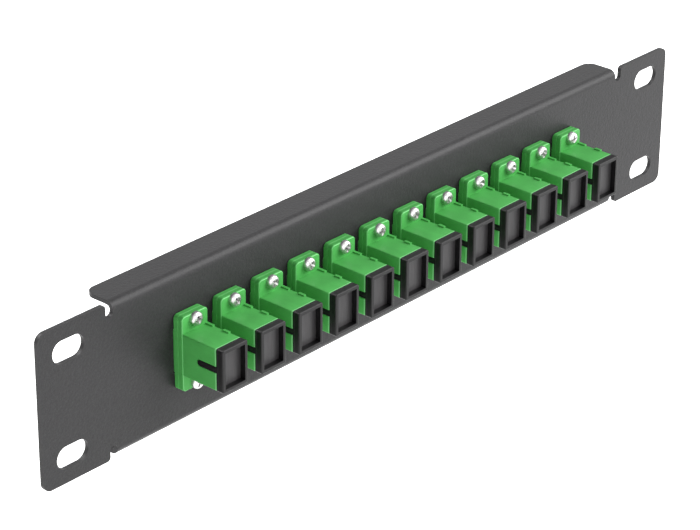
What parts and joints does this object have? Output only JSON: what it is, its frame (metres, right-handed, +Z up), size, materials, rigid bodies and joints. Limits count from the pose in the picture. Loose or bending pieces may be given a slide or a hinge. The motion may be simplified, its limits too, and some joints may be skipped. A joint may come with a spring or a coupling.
{
  "type": "fibre patch panel",
  "caption": "Rack-mounted fibre patch panel: a folded steel panel with a row of green simplex adapters, each screwed in and closed by dust caps.",
  "frame": {"origin": "centre of the rack slot pattern, on the rear face of the sheet, where the ears meet the rack", "axes": "+X along the panel to the right as seen from the front, +Y backwards into the rack, +Z up"},
  "size_m": [0.254, 0.031, 0.0436],
  "materials": {
    "powder_coated_steel": "fine-textured dark grey powder coat",
    "green_housing": "moulded green plastic, slight sheen",
    "green_insert": "moulded green plastic",
    "black_cap": "soft black moulded plastic",
    "ceramic": "polished white ceramic",
    "plated_screw": "bright nickel plate",
    "plated_nut": "nickel-plated steel"
  },
  "bodies": {
    "root": {"panel": "powder_coated_steel", "adapter_01_front_housing": "green_housing", "adapter_02_front_housing": "green_housing", "adapter_03_front_housing": "green_housing", "adapter_04_front_housing": "green_housing", "adapter_05_front_housing": "green_housing", "adapter_06_front_housing": "green_housing", "adapter_07_front_housing": "green_housing", "adapter_08_front_housing": "green_housing", "adapter_09_front_housing": "green_housing", "adapter_10_front_housing": "green_housing", "adapter_11_front_housing": "green_housing", "adapter_12_front_housing": "green_housing", "adapter_01_rear_housing": "green_housing", "adapter_02_rear_housing": "green_housing", "adapter_03_rear_housing": "green_housing", "adapter_04_rear_housing": "green_housing", "adapter_05_rear_housing": "green_housing", "adapter_06_rear_housing": "green_housing", "adapter_07_rear_housing": "green_housing", "adapter_08_rear_housing": "green_housing", "adapter_09_rear_housing": "green_housing", "adapter_10_rear_housing": "green_housing", "adapter_11_rear_housing": "green_housing", "adapter_12_rear_housing": "green_housing", "front_latch_inserts": "green_insert", "rear_latch_inserts": "green_insert", "alignment_sleeves": "ceramic", "screws": "plated_screw", "nuts": "plated_nut"},
    "front_cap_01_body": {"front_cap_01": "black_cap"},
    "front_cap_02_body": {"front_cap_02": "black_cap"},
    "front_cap_03_body": {"front_cap_03": "black_cap"},
    "front_cap_04_body": {"front_cap_04": "black_cap"},
    "front_cap_05_body": {"front_cap_05": "black_cap"},
    "front_cap_06_body": {"front_cap_06": "black_cap"},
    "front_cap_07_body": {"front_cap_07": "black_cap"},
    "front_cap_08_body": {"front_cap_08": "black_cap"},
    "front_cap_09_body": {"front_cap_09": "black_cap"},
    "front_cap_10_body": {"front_cap_10": "black_cap"},
    "front_cap_11_body": {"front_cap_11": "black_cap"},
    "front_cap_12_body": {"front_cap_12": "black_cap"},
    "rear_cap_01_body": {"rear_cap_01": "black_cap"},
    "rear_cap_02_body": {"rear_cap_02": "black_cap"},
    "rear_cap_03_body": {"rear_cap_03": "black_cap"},
    "rear_cap_04_body": {"rear_cap_04": "black_cap"},
    "rear_cap_05_body": {"rear_cap_05": "black_cap"},
    "rear_cap_06_body": {"rear_cap_06": "black_cap"},
    "rear_cap_07_body": {"rear_cap_07": "black_cap"},
    "rear_cap_08_body": {"rear_cap_08": "black_cap"},
    "rear_cap_09_body": {"rear_cap_09": "black_cap"},
    "rear_cap_10_body": {"rear_cap_10": "black_cap"},
    "rear_cap_11_body": {"rear_cap_11": "black_cap"},
    "rear_cap_12_body": {"rear_cap_12": "black_cap"}
  },
  "joints": [
    {"name": "front_cap_01_slide", "type": "slide", "parent": "root", "child": "front_cap_01_body", "axis": [0, -1, 0], "range_m": [0, 0.03]},
    {"name": "front_cap_02_slide", "type": "slide", "parent": "root", "child": "front_cap_02_body", "axis": [0, -1, 0], "range_m": [0, 0.03]},
    {"name": "front_cap_03_slide", "type": "slide", "parent": "root", "child": "front_cap_03_body", "axis": [0, -1, 0], "range_m": [0, 0.03]},
    {"name": "front_cap_04_slide", "type": "slide", "parent": "root", "child": "front_cap_04_body", "axis": [0, -1, 0], "range_m": [0, 0.03]},
    {"name": "front_cap_05_slide", "type": "slide", "parent": "root", "child": "front_cap_05_body", "axis": [0, -1, 0], "range_m": [0, 0.03]},
    {"name": "front_cap_06_slide", "type": "slide", "parent": "root", "child": "front_cap_06_body", "axis": [0, -1, 0], "range_m": [0, 0.03]},
    {"name": "front_cap_07_slide", "type": "slide", "parent": "root", "child": "front_cap_07_body", "axis": [0, -1, 0], "range_m": [0, 0.03]},
    {"name": "front_cap_08_slide", "type": "slide", "parent": "root", "child": "front_cap_08_body", "axis": [0, -1, 0], "range_m": [0, 0.03]},
    {"name": "front_cap_09_slide", "type": "slide", "parent": "root", "child": "front_cap_09_body", "axis": [0, -1, 0], "range_m": [0, 0.03]},
    {"name": "front_cap_10_slide", "type": "slide", "parent": "root", "child": "front_cap_10_body", "axis": [0, -1, 0], "range_m": [0, 0.03]},
    {"name": "front_cap_11_slide", "type": "slide", "parent": "root", "child": "front_cap_11_body", "axis": [0, -1, 0], "range_m": [0, 0.03]},
    {"name": "front_cap_12_slide", "type": "slide", "parent": "root", "child": "front_cap_12_body", "axis": [0, -1, 0], "range_m": [0, 0.03]},
    {"name": "rear_cap_01_slide", "type": "slide", "parent": "root", "child": "rear_cap_01_body", "axis": [0, 1, 0], "range_m": [0, 0.03]},
    {"name": "rear_cap_02_slide", "type": "slide", "parent": "root", "child": "rear_cap_02_body", "axis": [0, 1, 0], "range_m": [0, 0.03]},
    {"name": "rear_cap_03_slide", "type": "slide", "parent": "root", "child": "rear_cap_03_body", "axis": [0, 1, 0], "range_m": [0, 0.03]},
    {"name": "rear_cap_04_slide", "type": "slide", "parent": "root", "child": "rear_cap_04_body", "axis": [0, 1, 0], "range_m": [0, 0.03]},
    {"name": "rear_cap_05_slide", "type": "slide", "parent": "root", "child": "rear_cap_05_body", "axis": [0, 1, 0], "range_m": [0, 0.03]},
    {"name": "rear_cap_06_slide", "type": "slide", "parent": "root", "child": "rear_cap_06_body", "axis": [0, 1, 0], "range_m": [0, 0.03]},
    {"name": "rear_cap_07_slide", "type": "slide", "parent": "root", "child": "rear_cap_07_body", "axis": [0, 1, 0], "range_m": [0, 0.03]},
    {"name": "rear_cap_08_slide", "type": "slide", "parent": "root", "child": "rear_cap_08_body", "axis": [0, 1, 0], "range_m": [0, 0.03]},
    {"name": "rear_cap_09_slide", "type": "slide", "parent": "root", "child": "rear_cap_09_body", "axis": [0, 1, 0], "range_m": [0, 0.03]},
    {"name": "rear_cap_10_slide", "type": "slide", "parent": "root", "child": "rear_cap_10_body", "axis": [0, 1, 0], "range_m": [0, 0.03]},
    {"name": "rear_cap_11_slide", "type": "slide", "parent": "root", "child": "rear_cap_11_body", "axis": [0, 1, 0], "range_m": [0, 0.03]},
    {"name": "rear_cap_12_slide", "type": "slide", "parent": "root", "child": "rear_cap_12_body", "axis": [0, 1, 0], "range_m": [0, 0.03]}
  ]
}
